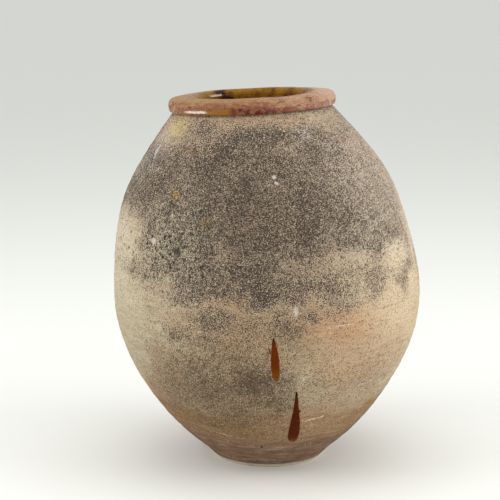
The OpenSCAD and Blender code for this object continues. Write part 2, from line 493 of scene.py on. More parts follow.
@dataclass(frozen=True)
class JarForm:
    """Outlines and lean of the jar, in metres and degrees, as the CAD part has them."""

    belly_r: float = 0.3105
    belly_h: float = 0.3465
    foot_r: float = 0.1095
    heel_r: float = 0.133
    heel_h: float = 0.024
    floor_t: float = 0.032
    heel_flare: float = 52.0
    heel_fullness: float = 0.37
    belly_fullness: float = 0.28
    neck_h: float = 0.715
    neck_r: float = 0.157
    neck_slope: float = 39.6
    shoulder_fullness: float = 0.49
    neck_fullness: float = 0.44
    wall_t: float = 0.015
    heel_wall_t: float = 0.024
    glaze_t: float = 0.0008
    foot_lean: float = 0.8
    neck_lean: float = 2.9
    slump: float = 1.8
    ball_angle: float = 8.0

    @property
    def belly_x(self) -> float:
        """Sideways place of the belly's middle."""
        return -self.belly_h * math.tan(math.radians(self.foot_lean))

    @property
    def seat(self) -> Vector:
        """Middle of the collar's seat.

        Returns:
            The point.
        """
        rise = self.neck_h - self.belly_h
        lean = math.radians(self.neck_lean)
        slumped = math.tan(math.radians(self.slump)) * math.cos(lean) * rise
        across = self.belly_x - math.sin(lean) * rise - slumped
        return Vector((across, 0.0, self.belly_h + math.cos(lean) * rise))

    @property
    def seat_axis(self) -> Vector:
        """Direction of the collar's axis, upwards."""
        lean = math.radians(self.neck_lean)
        return Vector((-math.sin(lean), 0.0, math.cos(lean)))

    @staticmethod
    def _curve(start: Grid, leave: Grid, end: Grid, arrive: Grid, full: tuple[float, float]) -> Grid:
        """Points of a curve between two points.

        Args:
            start: The first point.
            leave: The direction in which the curve leaves it.
            end: The last point.
            arrive: The direction in which the curve reaches it.
            full: How full the curve is at its two ends.

        Returns:
            The points, one in a row.
        """
        span = np.linalg.norm(end - start)
        b = start + leave * span * full[0]
        c = end - arrive * span * full[1]
        t = np.linspace(0.0, 1.0, 200)[:, None]
        s = 1 - t
        return s**3 * start + 3 * s**2 * t * b + 3 * s * t**2 * c + t**3 * end

    def _ball(self) -> Grid:
        """Points of the belly, where both sections follow one ball."""
        a = np.radians(np.linspace(-self.ball_angle, self.ball_angle, 60))
        return np.stack([self.belly_r * np.cos(a), self.belly_h + self.belly_r * np.sin(a)], 1)

    def lower_outline(self) -> Grid:
        """Outline of the lower wall.

        Returns:
            Radius and height of its points, from below the ground to past the belly.
        """
        heel = np.array([self.heel_r, self.heel_h])
        foot = np.array([self.foot_r, 0.0])
        chamfer = np.linspace(foot - (heel - foot) * 0.5, heel, 40)
        ball = self._ball()
        full = (self.heel_fullness, self.belly_fullness)
        flare, upright = heading(self.heel_flare), heading(self.ball_angle)
        return np.vstack([chamfer[:-1], self._curve(heel, flare, ball[0], upright, full), ball[1:]])

    def upper_outline(self) -> Grid:
        """Outline of the upper wall.

        Returns:
            Radius and height of its points, from below the belly to past the collar's seat.
        """
        ball = self._ball()
        neck = np.array([self.neck_r, self.neck_h])
        full = (self.shoulder_fullness, self.neck_fullness)
        upright, slope = heading(-self.ball_angle), heading(-self.neck_slope)
        above = np.linspace(neck, neck + slope * 0.03, 20)
        return np.vstack([ball[:-1], self._curve(ball[-1], upright, neck, slope, full), above[1:]])

    def lean_lower(self, points: Grid) -> Grid:
        """Leans points of the upright lower section into place."""
        return self._turned(points, self.foot_lean)

    def lean_upper(self, points: Grid) -> Grid:
        """Leans and slumps points of the upright upper section into place.

        Args:
            points: The points.

        Returns:
            The placed points.
        """
        placed = self._turned(points, self.neck_lean)
        slumped = placed[..., 0] - math.tan(math.radians(self.slump)) * (placed[..., 2] - self.belly_h)
        return np.stack([slumped, placed[..., 1], placed[..., 2]], -1)

    def _turned(self, points: Grid, angle: float) -> Grid:
        """Leans points to the left about the belly's middle.

        Args:
            points: The points.
            angle: How far, in degrees.

        Returns:
            The leaning points.
        """
        c, s = math.cos(math.radians(angle)), math.sin(math.radians(angle))
        x, y, z = points[..., 0], points[..., 1], points[..., 2] - self.belly_h
        return np.stack([c * x - s * z + self.belly_x, y, s * x + c * z + self.belly_h], -1)

    def wall_at(self, z: Grid) -> Grid:
        """Thickness of the wall at a height."""
        s = np.clip((z - self.heel_h) / (self.belly_h - self.heel_h), 0, 1)
        return self.heel_wall_t + (self.wall_t - self.heel_wall_t) * (2 - s) * s

    def uneven(self, azimuth: Grid, z: Grid) -> Grid:
        """How far the hand-made wall stands out of its true outline.

        Args:
            azimuth: Azimuth of each point, in radians.
            z: Its height in the upright jar.

        Returns:
            The distance outwards, in metres.
        """
        broad = 0.9 * np.sin(2 * azimuth + 9 * z + 0.4) + 0.6 * np.sin(3 * azimuth - 17 * z + 1.9)
        middle = 0.35 * np.sin(5 * azimuth + 31 * z) + 0.25 * np.sin(8 * azimuth - 47 * z + 2.6)
        rings = 0.22 * np.sin(z / 0.0031 + 1.1 * np.sin(2 * azimuth))
        rings += 0.16 * np.sin(z / 0.0068 + 1.7 * np.sin(3 * azimuth + 1))
        ends = np.clip((z - 0.012) / 0.05, 0, 1) * np.clip((self.neck_h + 0.005 - z) / 0.05, 0, 1)
        return (broad + middle + rings) * MM * ends

    def wall_point(self, azimuth: float, height: float) -> Vector:
        """Point of the leaning outer wall at an azimuth and a height.

        Args:
            azimuth: In degrees from the front, positive to the right.
            height: In metres.

        Returns:
            The point.
        """
        lower = height < self.belly_h
        line = self.lower_outline() if lower else self.upper_outline()
        r = float(np.interp(height, line[:, 1], line[:, 0]))
        upright = spun(math.radians(azimuth), r, height)
        return Vector(self.lean_lower(upright) if lower else self.lean_upper(upright))

    @staticmethod
    def height_level(points: Grid) -> Grid:
        """Level of placed points above the ground."""
        return points[..., 2]

    def upper_level(self, points: Grid) -> Grid:
        """Level of placed points between the belly's plane and the collar's seat.

        Args:
            points: The points.

        Returns:
            0 on the belly's plane, 1 on the seat.
        """
        above = points[..., 2] - self.belly_h
        below = -((points - np.array(self.seat)) @ np.array(self.seat_axis))
        return above / np.maximum(above + below, 1e-6)


class Wall:
    """The surface of one wall section, cut between two levels and sampled as a grid."""

    def __init__(
        self, form: JarForm, line: Grid, place: Callable[[Grid], Grid],
        level: Callable[[Grid], Grid], around: int,
    ) -> None:
        """Keeps the section's outline and its way into place.

        Args:
            form: The jar's form.
            line: The section's outline, radius and height.
            place: Leans points of the upright section into place.
            level: Gives the level of placed points.
            around: How many columns the grid has.
        """
        self.form = form
        self.line = line
        self.place = place
        self.level = level
        self.azimuth = np.arange(around) * TURN / around
        self.normal = outward(line)

    def grid(self, rows: int, low: float, high: float, depth: float | None = None) -> Grid:
        """Points of the surface between two levels.

        Args:
            rows: How many rows of points.
            low: The lowest level.
            high: The highest level.
            depth: None for the outside, or the depth under the inner face of the clay.

        Returns:
            The placed points, rows by columns by 3.
        """
        line = self.line
        if depth is not None:
            line = line - self.normal * (self.form.wall_at(line[:, 1]) + depth)[:, None]
        length = lengths(line)
        levels = self.level(self.place(spun(self.azimuth, line[:, :1], line[:, 1:])))
        first, last = (
            np.array([np.interp(edge, column, length) for column in levels.T]) for edge in (low, high)
        )
        at = first + (last - first) * np.linspace(0, 1, rows)[:, None]
        r, z = (np.interp(at, length, line[:, k]) for k in range(2))
        if depth is None:
            out_r, out_z = (np.interp(at, length, self.normal[:, k]) for k in range(2))
            reach = self.form.uneven(self.azimuth, z)
            r, z = r + out_r * reach, z + out_z * reach
        return self.place(spun(self.azimuth, r, z))


class Mesher:
    """Turns grids of points into pieces."""

    def __init__(self) -> None:
        """Starts with no pieces."""
        self.pieces: list[bpy.types.Object] = []

    def shell(self, name: str, rings: Grid, poles: bool = False) -> bpy.types.Object:
        """Makes a closed piece from rings of points, one above the other.

        Args:
            name: The piece's name.
            rings: Points, rows by columns by 3. Columns run to the right, seen from outside.
            poles: Whether the first and last rings are one point each, and not joined.

        Returns:
            The object.
        """
        rows, around = rings.shape[:2]
        under = np.arange(rows * around).reshape(rows, around)
        if poles:
            under[0], under[-1] = under[0, 0], under[-1, 0]
        upper = np.roll(under, -1, 0)
        if poles:
            under, upper = under[:-1], upper[:-1]
        quads = [under, np.roll(under, -1, 1), np.roll(upper, -1, 1), upper]
        return self.piece(name, rings.reshape(-1, 3), np.stack(quads, -1).reshape(-1, 4))

    def patch(self, name: str, top: Grid, under: Grid) -> bpy.types.Object:
        """Makes a closed piece from an open grid and the grid that lies under it.

        Args:
            name: The piece's name.
            top: Points of the outer side, rows upwards, columns to the right.
            under: The matching points of the inner side.

        Returns:
            The object.
        """
        loops = np.concatenate([top, under[:, ::-1]], 1)
        rows, around = loops.shape[:2]
        index = np.arange(rows * around).reshape(rows, around)
        right = np.roll(index, -1, 1)
        sides = np.stack([index[:-1], right[:-1], right[1:], index[1:]], -1).reshape(-1, 4)
        ends = []
        for row, flip in ((0, True), (rows - 1, False)):
            for k in range(around // 2 - 1):
                face = [row * around + c for c in (k, k + 1, around - 2 - k, around - 1 - k)]
                ends.append(face[::-1] if flip else face)
        return self.piece(name, loops.reshape(-1, 3), np.vstack([sides, ends]))

    def piece(self, name: str, points: Grid, faces: Grid) -> bpy.types.Object:
        """Makes an object of points and faces, without unused or doubled corners.

        Args:
            name: The object's name.
            points: The points.
            faces: Corner numbers of each face.

        Returns:
            The object.
        """
        used, renumbered = np.unique(faces, return_inverse=True)
        renumbered = renumbered.reshape(faces.shape)
        rows = [list(dict.fromkeys(int(v) for v in row)) for row in renumbered]
        mesh = bpy.data.meshes.new(name)
        mesh.from_pydata(points[used].tolist(), [], [row for row in rows if len(row) > 2])
        mesh.validate()
        mesh.polygons.foreach_set("use_smooth", [True] * len(mesh.polygons))
        mesh.set_sharp_from_angle(angle=math.radians(SHARP_ANGLE))
        mesh.update()
        made = bpy.data.objects.new(name, mesh)
        bpy.context.scene.collection.objects.link(made)
        self.pieces.append(made)
        return made


def dress(
    piece: bpy.types.Object, material: bpy.types.Material, slot: Slot, *nodes: str
) -> bpy.types.Object:
    """Gives a piece its finish and its place in the frame.

    Args:
        piece: The piece.
        material: Its finish.
        slot: The record's slot that the finish belongs to. Not used.
        nodes: The CAD nodes that the piece stands for.

    Returns:
        The piece.
    """
    piece.data.materials.clear()
    piece.data.materials.append(material)
    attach(piece, "root")
    if nodes:
        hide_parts(*nodes)
    return piece


# Finishes


@dataclass(frozen=True)
class Patch:
    """A place on the wall with a tint, or with a share of growth or specks of its own."""

    azimuth: float
    height: float
    half_width: float
    half_height: float
    amount: float = 1.0
    edge: float = 0.45
    rgb: Rgb = (212, 200, 190)

    def mask(self, paint: Paint, form: JarForm, at: Any) -> Number:
        """Where the patch lies, from 0 to its amount.

        Args:
            paint: The material's builder.
            form: The jar's form.
            at: The coordinates that it is read at.

        Returns:
            The mask.
        """
        middle = form.wall_point(self.azimuth, self.height)
        away = paint.vector("SUBTRACT", at, tuple(middle))
        reach = paint.measure("LENGTH", paint.squeezed(away, 1 / self.half_width, 1 / self.half_height))
        return reach.step(1 + self.edge, 1 - self.edge) * self.amount


def patches(*rows: tuple[Any, ...]) -> tuple[Patch, ...]:
    """Makes patches of rows of their values."""
    return tuple(Patch(*row) for row in rows)


@dataclass(frozen=True)
class WeatheredClay:
    """Earthenware that stood outdoors: bare cream and salmon clay under dark grainy growth."""

    form: JarForm
    cream: Colour = tint(184, 166, 137)
    pale: Colour = tint(198, 184, 157)
    warm: Colour = tint(178, 148, 118)
    # Features to the metre of the growth's grains and blots
    grain_scale: float = 480.0
    pale_grain_scale: float = 460.0
    blot_scale: float = 120.0
    # Added to the place at which the pale grains are read, so that they have a pattern of their own
    aside: tuple[float, float, float] = (3.1, 7.7, 1.3)
    # Level of the pattern above which a grain or a blot is dark, and its fall in full growth
    grain_level: tuple[float, float] = (0.622, 0.21)
    blot_level: tuple[float, float] = (0.66, 0.20)
    # Share of dark growth that even the barest clay has
    least_growth: float = 0.06
    # Between these heights the growth turns from grey brown to the browner one lower down
    browner: tuple[float, float] = (0.36, 0.28)
    # Each patch: azimuth, height, half width, half height, amount, edge and tint
    tints: tuple[Patch, ...] = patches(
        (-70, 0.300, 0.16, 0.13, 0.7, 0.45, (190, 178, 150)),
        (68, 0.310, 0.15, 0.13, 0.75, 0.45, (204, 184, 152)),
        (26, 0.334, 0.105, 0.034, 0.65, 0.45, (196, 150, 112)),
        (38, 0.280, 0.11, 0.06, 0.6, 0.45, (192, 152, 116)),
        (-28, 0.345, 0.06, 0.03, 0.6, 0.45, (170, 142, 112)),
        (-15, 0.386, 0.045, 0.020, 0.7, 0.45, (186, 152, 116)),
        (0, 0.310, 0.09, 0.07, 0.55, 0.45, (162, 130, 98)),
        (-42, 0.235, 0.05, 0.06, 0.5, 0.45, (164, 130, 102)),
        (-56, 0.160, 0.06, 0.05, 0.7, 0.45, (160, 124, 96)),
        (-25, 0.170, 0.14, 0.07, 0.6, 0.45, (138, 116, 88)),
        (-57, 0.686, 0.035, 0.022, 0.6, 0.45, (186, 166, 122)),
        (-62, 0.632, 0.04, 0.03, 0.5, 0.45, (188, 162, 144)),
        (-10, 0.560, 0.06, 0.05, 0.4, 0.45, (150, 116, 102)),
        # Painted light: a lighter band round the neck just under the collar, against the shadow there
        (0, 0.700, 0.14, 0.015, 0.7, 0.45, (198, 164, 136)),
        (62, 0.560, 0.15, 0.15, 0.7, 0.45, (206, 188, 166)),
        (-76, 0.470, 0.10, 0.070, 0.8, 0.45, (214, 200, 174)),
        (72, 0.430, 0.13, 0.090, 0.8, 0.45, (222, 204, 176)),
        (-72, 0.400, 0.10, 0.060, 0.5, 0.45, (204, 190, 162)),
        (42, 0.415, 0.12, 0.030, 0.6, 0.45, (208, 186, 154)),
        (66, 0.270, 0.12, 0.080, 0.6, 0.45, (208, 186, 154)),
        (54, 0.350, 0.10, 0.060, 0.7, 0.45, (216, 192, 160)),
        (36, 0.240, 0.12, 0.060, 0.5, 0.45, (196, 168, 136)),
    )
    # Where the growth is thin or missing
    bare: tuple[Patch, ...] = patches(
        (-75, 0.480, 0.092, 0.056, 0.90),
        (-60, 0.488, 0.034, 0.052, 0.90, 0.6),
        (-88, 0.350, 0.080, 0.080, 0.60),
        (59, 0.434, 0.050, 0.027, 0.92, 0.5),
        (33, 0.446, 0.048, 0.019, 0.72, 0.6),
        (15.5, 0.441, 0.060, 0.022, 0.50, 0.7),
        (48, 0.420, 0.11, 0.030, 0.40, 0.8),
        (90, 0.450, 0.09, 0.10, 0.75),
        (-56, 0.690, 0.09, 0.030, 0.80, 0.8),
        (50, 0.699, 0.09, 0.020, 0.50, 0.9),
        (24, 0.708, 0.08, 0.012, 0.50, 0.9),
        (-12, 0.706, 0.12, 0.015, 0.62, 0.8),
        (80, 0.580, 0.14, 0.15, 0.42, 0.85),
        (-18, 0.470, 0.03, 0.02, 0.3, 0.8),
        (-50.5, 0.448, 0.024, 0.024, 0.35, 0.8),
        (-40, 0.400, 0.05, 0.03, 0.35, 0.8),
        (-46, 0.402, 0.06, 0.026, 0.45, 0.8),
        (40, 0.404, 0.09, 0.024, 0.45, 0.8),
        (16, 0.655, 0.022, 0.012, 0.45, 0.8),
        (158, 0.520, 0.050, 0.030, 0.60),
        (140, 0.505, 0.070, 0.022, 0.55),
        (128, 0.545, 0.030, 0.030, 0.40),
        (110, 0.620, 0.070, 0.050, 0.50, 0.8),
        (-135, 0.600, 0.050, 0.050, 0.45, 0.8),
        (-150, 0.560, 0.040, 0.030, 0.40),
        (-118, 0.530, 0.050, 0.020, 0.40),
        (-172, 0.640, 0.060, 0.030, 0.45, 0.8),
    )
    # Where it grows below its border
    growth: tuple[Patch, ...] = patches(
        (-12, 0.300, 0.08, 0.035, 0.34, 0.9),
        (-2, 0.388, 0.034, 0.022, 0.74, 0.8),
        (42, 0.397, 0.034, 0.032, 0.46, 0.8),
        (61, 0.381, 0.014, 0.034, 0.55, 0.8),
        (-20, 0.205, 0.15, 0.100, 0.60, 0.85),
        (-6.5, 0.222, 0.060, 0.042, 0.84, 0.9),
        (2.5, 0.181, 0.040, 0.032, 0.78, 0.9),
        (-22.5, 0.303, 0.050, 0.026, 0.50, 0.9),
        (8.5, 0.389, 0.030, 0.016, 0.72, 0.7),
        (-19.5, 0.351, 0.046, 0.024, 0.66, 0.9),
        (-34, 0.312, 0.04, 0.022, 0.50, 0.9),
        (6, 0.332, 0.030, 0.030, 0.60, 0.9),
        (26, 0.372, 0.045, 0.022, 0.46, 0.9),
        (-4, 0.338, 0.050, 0.020, 0.30, 0.9),
        (80, 0.400, 0.03, 0.04, 0.4, 0.9),
        (46, 0.215, 0.10, 0.055, 0.26, 0.9),
        (22, 0.205, 0.07, 0.055, 0.30, 0.9),
        (4, 0.110, 0.14, 0.03, 0.3, 0.9),
        (-36, 0.466, 0.010, 0.008, 0.9),
        (-22, 0.473, 0.040, 0.030, 0.95, 0.9),
        (15, 0.347, 0.024, 0.012, 0.60, 0.9),
        (4.5, 0.213, 0.035, 0.045, 0.60, 0.9),
        (-31.5, 0.690, 0.050, 0.026, 0.65, 0.9),
        (170, 0.240, 0.12, 0.07, 0.50, 0.9),
        (-152, 0.195, 0.07, 0.05, 0.42, 0.9),
        (136, 0.305, 0.06, 0.03, 0.42, 0.9),
        (-120, 0.260, 0.10, 0.06, 0.4, 0.9),
    )
    # Where it has coarse black specks in it
    burnt: tuple[Patch, ...] = patches(
        (-46, 0.480, 0.11, 0.060, 1.0, 0.8),
        (-26, 0.450, 0.10, 0.050, 0.7, 0.8),
        (-30, 0.540, 0.10, 0.050, 0.5, 0.8),
    )
    # Where single black specks lie on the pale clay
    peppered: tuple[Patch, ...] = patches(
        (-64, 0.470, 0.060, 0.050, 1.0, 0.6),
        (-52, 0.430, 0.050, 0.030, 0.8, 0.6),
        (58, 0.430, 0.060, 0.050, 0.9, 0.6),
        (34, 0.440, 0.060, 0.030, 0.7, 0.6),
        (-52, 0.350, 0.060, 0.060, 0.4, 0.8),
    )
    # Pale dust and lichen on the growth; the first two make both sides of the jar lighter
    dust: tuple[Patch, ...] = patches(
        (-86, 0.580, 0.075, 0.13, 0.46, 0.9, (196, 180, 162)),
        (82, 0.590, 0.085, 0.14, 0.45, 0.9, (208, 192, 172)),
        (-6, 0.540, 0.15, 0.150, 0.34, 0.9, (98, 84, 70)),
        (-40, 0.480, 0.085, 0.055, 0.70, 0.9, (196, 182, 156)),
        (-31.5, 0.575, 0.055, 0.040, 0.30, 0.9, (188, 172, 150)),
        (40, 0.480, 0.080, 0.032, 0.40, 0.9, (206, 190, 164)),
        (-68, 0.640, 0.050, 0.055, 0.75, 0.9, (196, 180, 164)),
        (48, 0.560, 0.10, 0.120, 0.25, 0.9, (198, 182, 162)),
        (53, 0.519, 0.040, 0.040, 0.30, 0.9, (208, 192, 170)),
        (52.5, 0.595, 0.050, 0.045, 0.25, 0.9, (208, 192, 170)),
        (29, 0.669, 0.022, 0.010, 0.55, 0.9, (206, 190, 180)),
        (45, 0.645, 0.024, 0.012, 0.45, 0.9, (200, 184, 170)),
        (-36.5, 0.578, 0.010, 0.011, 0.75, 0.8, (196, 156, 84)),
        (-22, 0.524, 0.012, 0.010, 0.60, 0.8, (190, 156, 92)),
        (-57, 0.694, 0.030, 0.018, 0.50, 0.9, (196, 176, 116)),
        (-17, 0.490, 0.011, 0.009, 0.45, 0.7, (176, 158, 128)),
    )
    # Burnt black spots and small holes
    pocks: tuple[Patch, ...] = patches(
        (-33, 0.478, 0.0095, 0.0070, 0.90, 0.5, (58, 48, 43)),
        (-25, 0.477, 0.0040, 0.0045, 0.85, 0.5, (52, 43, 38)),
        (-49, 0.423, 0.0036, 0.0036, 0.85, 0.5, (58, 46, 38)),
        (-0.5, 0.631, 0.0032, 0.0032, 0.75, 0.5, (48, 40, 36)),
        (-6, 0.067, 0.0040, 0.0028, 0.95, 0.4, (40, 30, 26)),
        (25, 0.300, 0.0028, 0.0028, 0.85, 0.4, (70, 52, 40)),
    )
    # Discs and flecks of lime
    lime: tuple[Patch, ...] = patches(
        (7.5, 0.605, 0.0042, 0.0036, 0.80),
        (8, 0.595, 0.0038, 0.0030, 0.75),
        (-45.5, 0.490, 0.0064, 0.0062, 0.75),
        (9.5, 0.363, 0.0050, 0.0085, 0.70),
        (-64.5, 0.647, 0.0070, 0.0090, 0.60),
        (-64.5, 0.656, 0.0040, 0.0040, 0.60),
        (-63, 0.637, 0.0034, 0.0050, 0.50),
        (-37, 0.540, 0.0030, 0.0030, 0.55),
    )
    # Lower border of the growth: azimuth and height, between two heights
    border_range: tuple[float, float] = (0.3, 0.5)
    border: tuple[tuple[float, float], ...] = (
        (-180, 0.372), (-165, 0.398), (-150, 0.415), (-138, 0.392), (-125, 0.372), (-112, 0.388),
        (-100, 0.418), (-90, 0.425), (-80, 0.412), (-66, 0.405), (-57, 0.396), (-45, 0.384),
        (-33, 0.362), (-20, 0.380), (-8, 0.380), (0, 0.368), (14, 0.390), (39, 0.384),
        (51, 0.403), (58, 0.375), (70, 0.405), (80, 0.418), (90, 0.430), (100, 0.405),
        (112, 0.385), (124, 0.398), (136, 0.425), (148, 0.402), (160, 0.370), (170, 0.362),
        (180, 0.372),
    )
    # Scratches: azimuth and height of both ends, then the half width
    scratches: tuple[tuple[float, float, float, float, float], ...] = (
        (16, 0.131, 25.5, 0.138, 0.0015),
        (54.5, 0.182, 63, 0.187, 0.0020),
        (23, 0.332, 31, 0.331, 0.0008),
        (21.5, 0.330, 22, 0.316, 0.0010),
        (27.5, 0.363, 30, 0.374, 0.001),
        (12.5, 0.237, 13, 0.226, 0.001),
        (-58.5, 0.369, -56, 0.362, 0.0012),
        (16, 0.105, 23, 0.103, 0.0009),
        (-28, 0.095, -21, 0.092, 0.0008),
    )

    def material(self) -> bpy.types.Material:
        """Builds the finish.

        Returns:
            The material.
        """
        paint = Paint("weathered_clay")
        x, y, z = paint.parts(paint.place)
        broad = paint.warped(16.0, 0.020)
        density = self._density(paint, paint.warped(60.0, 0.009, broad), x, y)
        middle = paint.noise(self.blot_scale, 4.0, 0.65)
        grains = paint.noise(self.grain_scale, 1.0, 0.6) * 0.86 + middle * 0.14
        level, fall = self.grain_level
        dark = (grains - (level - density * fall)).step(-0.012, 0.024)
        lower = z.step(*self.browner)
        skin = self._bare_clay(paint, broad, z)
        self._lay_veil(skin, density, middle, lower, broad)
        level, fall = self.blot_level
        blots = (middle - (level - density * fall)).step(-0.03, 0.06)
        skin.over(blots * 0.30, 84, 70, 60)
        soot = paint.blend(lower, tint(49, 41, 36), tint(62, 48, 32))
        skin.colour = paint.blend(dark * (0.88 - lower * 0.16), skin.colour, soot)
        self._lay_specks(skin, density, broad, z)
        pits = paint.cells(210.0).step(0.28, 0.12)
        relief = grains * 0.8 + dark * 0.5 - pits * 0.5 + paint.noise(45.0, 4.0, 0.6)
        return paint.finish(Base_Color=skin.colour, Roughness=dark * 0.06 + 0.84,
                            Normal=paint.bump(relief, 0.0009), Specular_IOR_Level=0.25)

    def _lay_patches(self, skin: Layers, kinds: Sequence[Patch], at: Any) -> None:
        """Paints patches in their own tints.

        Args:
            skin: The colour so far.
            kinds: The patches.
            at: The coordinates that they are read at.
        """
        for patch in kinds:
            skin.over(patch.mask(skin.paint, self.form, at), *patch.rgb)

    def _with_patches(
        self, paint: Paint, share: Number, kinds: Sequence[Patch], at: Any
    ) -> Number:
        """Raises a share to the patches' amounts.

        Args:
            paint: The material's builder.
            share: The share elsewhere.
            kinds: The patches.
            at: The coordinates that they are read at.

        Returns:
            The larger of the share and the patches' masks.
        """
        for patch in kinds:
            share = share.either(patch.mask(paint, self.form, at))
        return share

    def _bare_clay(self, paint: Paint, broad: Any, z: Number) -> Layers:
        """The clay's own colour, with its stains, tints and scratches.

        Args:
            paint: The material's builder.
            broad: Coordinates that wander by some centimetres.
            z: Height above the ground.

        Returns:
            The layers of colour.
        """
        stops = [(0.3, self.warm), (0.5, self.cream), (0.72, self.pale)]
        skin = Layers(paint, paint.ramp(paint.noise(7.0, 4.0, 0.55), stops))
        skin.over(paint.noise(38.0, 5.0, 0.65).step(0.35, 0.7) * 0.35, 166, 136, 108)
        self._lay_patches(skin, self.tints, broad)
        # The ochre band, a warmer place in it, then the browner foot
        wavy = paint.parts(broad)[2]
        skin.over(wavy.step(0.185, 0.125) * 0.55, 140, 106, 66)
        skin.over(wavy.step(0.150, 0.138) * 0.70, 134, 96, 48)
        warmer = Patch(24, 0.115, 0.09, 0.045, 0.6, 0.9, (184, 148, 112))
        self._lay_patches(skin, [warmer], broad)
        skin.over(wavy.step(0.095, 0.070) * 0.80, 126, 95, 74)
        skin.over(wavy.step(0.040, 0.020) * 0.50, 138, 108, 88)
        skin.over(paint.noise(260.0, 3.0, 0.6).step(0.3, 0.75) * 0.22, 122, 100, 80)
        # Marks of the potter's comb, light and dark
        combed = paint.noise(210.0, 2.0, 0.5, paint.squeezed(paint.place, 0.10, 1.0))
        skin.over(combed.step(0.52, 0.66) * 0.16, 206, 186, 156)
        skin.over(combed.step(0.48, 0.36) * 0.20, 112, 90, 72)
        for scratch in self.scratches:
            skin.over(self._scratch(paint, *scratch) * 0.75, 222, 206, 182)
        # The foot is scraped, and has a painted highlight along its lowest edge
        scraped = paint.noise(150.0, 3.0, 0.6, paint.squeezed(paint.place, 0.2, 1.0))
        low = z.step(0.085, 0.060)
        skin.over(scraped.step(0.54, 0.64) * low * 0.5, 178, 148, 128)
        skin.over(scraped.step(0.47, 0.38) * low * 0.5, 96, 66, 52)
        # Painted highlight: a pale line along the foot's lowest edge
        skin.over((z + scraped * 0.004).step(0.0115, 0.0080) * 0.9, 222, 208, 188)
        return skin

    def _scratch(
        self, paint: Paint, azimuth: float, height: float, to_azimuth: float, to_height: float,
        width: float,
    ) -> Number:
        """Where a scratch between two places lies.

        Args:
            paint: The material's builder.
            azimuth: The first end's azimuth.
            height: The first end's height.
            to_azimuth: The other end's azimuth.
            to_height: The other end's height.
            width: The scratch's half width.

        Returns:
            The mask.
        """
        start = self.form.wall_point(azimuth, height)
        run = self.form.wall_point(to_azimuth, to_height) - start
        away = paint.vector("SUBTRACT", paint.warped(70.0, 0.0015), tuple(start))
        along = paint.measure("DOT_PRODUCT", away, tuple(run / run.length_squared)).clamped()
        values = {0: tuple(run), "Scale": along}
        foot = paint.node("ShaderNodeVectorMath", {"operation": "SCALE"}, values).outputs[0]
        broken = paint.noise(160.0, 2.0).step(0.38, 0.5)
        return paint.measure("DISTANCE", away, foot).step(width * 2.6, width) * broken

    def _density(self, paint: Paint, ragged: Any, x: Number, y: Number) -> Number:
        """How thickly the dark growth stands.

        Args:
            paint: The material's builder.
            ragged: Coordinates that wander, so that edges are ragged.
            x: Sideways place.
            y: Place from front to back.

        Returns:
            The density, from 0 to about 1.
        """
        turn = (x - self.form.belly_x).math("ARCTAN2", y * -1.0)
        low, high = self.border_range
        stops = [((a + 180) / 360, (h - low) / (high - low)) for a, h in self.border]
        line = Number(paint, paint.ramp(turn * (1 / TURN) + 0.5, stops)) * (high - low) + low
        above = (paint.parts(ragged)[2] - line).step(-0.012, 0.020)
        clumps = paint.noise(22.0, 4.0, 0.6).step(0.32, 0.66)
        density = above * (clumps * 0.24 + 0.54)
        for patch in self.bare:
            density = density * (1 - patch.mask(paint, self.form, ragged))
        for patch in self.growth:
            density = density.either(patch.mask(paint, self.form, ragged) * (clumps * 0.4 + 0.7))
        return density + self.least_growth

    def _lay_veil(
        self, skin: Layers, density: Number, middle: Number, lower: Number, broad: Any
    ) -> None:
        """Paints what lies under the growth's dark grains: a grey veil, pale grains and dust.

        Args:
            skin: The colour so far.
            density: How thickly the growth stands.
            middle: The pattern of its blots.
            lower: How far the growth is the browner one.
            broad: Coordinates that wander by some centimetres.
        """
        paint = skin.paint
        grey = paint.blend(middle, tint(142, 118, 102), tint(124, 110, 95))
        grey = paint.blend(lower * 0.9, grey, tint(112, 87, 54))
        veil = (density + (middle - 0.5) * 0.6).step(0.05, 1.02) * 0.85
        skin.colour = paint.blend(veil, skin.colour, grey)
        aside = paint.vector("ADD", paint.place, self.aside)
        light = paint.noise(self.pale_grain_scale, 1.0, 0.6, aside).step(0.54, 0.60)
        light = light * (density * 1.3).clamped()
        skin.over(light * (0.85 - lower * 0.3), 222, 204, 176)
        rusty = paint.noise(70.0, 3.0, 0.6, paint.squeezed(broad, 1.0, 0.14)).step(0.50, 0.62)
        skin.over(rusty * density.clamped() * 0.35, 132, 94, 80)
        self._lay_patches(skin, self.dust, broad)

    def _lay_specks(self, skin: Layers, density: Number, broad: Any, z: Number) -> None:
        """Paints what lies on the growth and on the clay: curds, specks, spots and lime.

        Args:
            skin: The colour so far.
            density: How thickly the growth stands.
            broad: Coordinates that wander by some centimetres.
            z: Height above the ground.
        """
        paint = skin.paint
        coarse = paint.noise(30.0, 2.0).step(0.52, 0.62) * 0.4
        coarse = self._with_patches(paint, coarse, self.burnt, broad)
        curds = paint.noise(200.0, 2.0, 0.6).step(0.55, 0.62) * density.clamped()
        skin.over(curds * coarse * 0.6, 192, 178, 150)
        specks = paint.cells(88.0).step(0.32, 0.22) * (density * 1.5 - 0.15).clamped()
        skin.over(specks * coarse, 34, 28, 25)
        lone = self._with_patches(paint, z.step(0.20, 0.10) * 0.15, self.peppered, broad)
        skin.over(paint.cells(62.0).step(0.22, 0.16) * lone * 0.85, 56, 46, 38)
        self._lay_patches(skin, self.pocks, broad)
        sparse = paint.noise(70.0, 1.0).step(0.56, 0.62)
        skin.over(paint.cells(120.0).step(0.20, 0.12) * sparse * 0.6, 206, 194, 172)
        self._lay_patches(skin, self.lime, paint.warped(180.0, 0.002))


